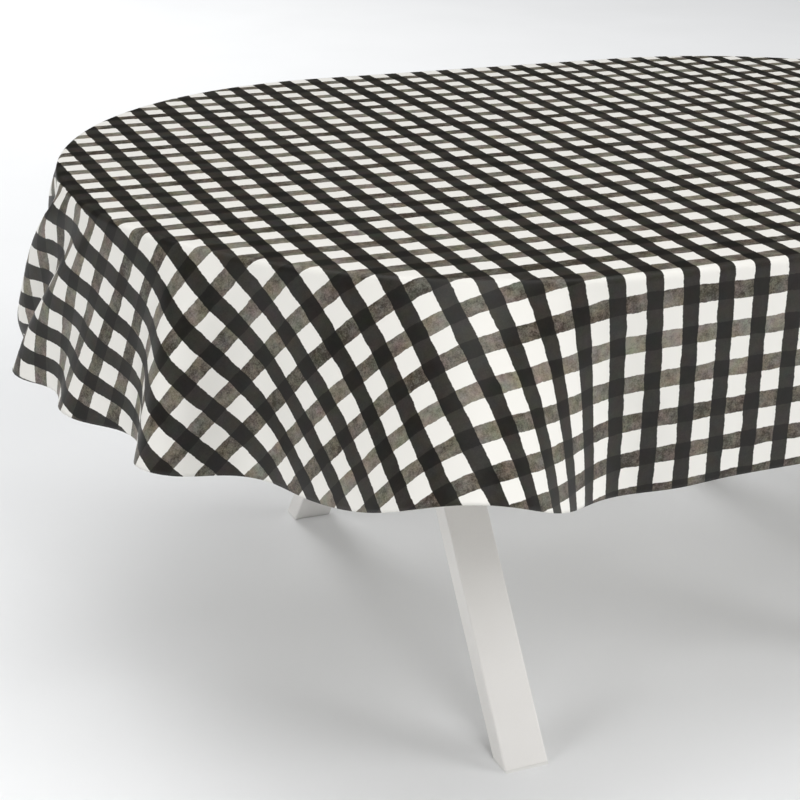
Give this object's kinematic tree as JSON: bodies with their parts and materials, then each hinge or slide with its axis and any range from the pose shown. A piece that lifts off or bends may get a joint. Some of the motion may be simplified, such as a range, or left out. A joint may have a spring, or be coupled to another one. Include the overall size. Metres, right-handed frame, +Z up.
{
  "type": "oval dining table with tablecloth",
  "caption": "Oval dining table on crossed-leg steel frames, dressed with an oval checked wipe-clean tablecloth that hangs in soft folds.",
  "frame": {"origin": "on the floor, under the middle of the table", "axes": "+X along the table's length, +Y from the front side to the rear side, +Z up"},
  "size_m": [1.8366, 1.4116, 0.755],
  "materials": {
    "oilcloth": "black, grey and white check, coated, satin",
    "laminated_board": "white laminate, satin",
    "white_plastic": "moulded, fine matt",
    "powder_coat": "warm white powder coat, satin",
    "zinc": "zinc plated"
  },
  "bodies": {
    "table": {"tabletop_board": "laminated_board", "edge_band": "white_plastic", "left_through_leg": "powder_coat", "left_lower_arm": "powder_coat", "left_upper_arm": "powder_coat", "left_mounting_plate": "powder_coat", "left_front_foot_cap": "white_plastic", "left_rear_foot_cap": "white_plastic", "left_plate_screw_1": "zinc", "left_plate_screw_2": "zinc", "left_plate_screw_3": "zinc", "left_plate_screw_4": "zinc", "left_plate_screw_5": "zinc", "left_plate_screw_6": "zinc", "right_through_leg": "powder_coat", "right_lower_arm": "powder_coat", "right_upper_arm": "powder_coat", "right_mounting_plate": "powder_coat", "right_front_foot_cap": "white_plastic", "right_rear_foot_cap": "white_plastic", "right_plate_screw_1": "zinc", "right_plate_screw_2": "zinc", "right_plate_screw_3": "zinc", "right_plate_screw_4": "zinc", "right_plate_screw_5": "zinc", "right_plate_screw_6": "zinc"},
    "cloth": {"tablecloth": "oilcloth"}
  },
  "joints": [
    {"name": "tablecloth_lift", "type": "slide", "parent": "table", "child": "cloth", "axis": [0, 0, 1], "range_m": [0, 0.4]}
  ]
}
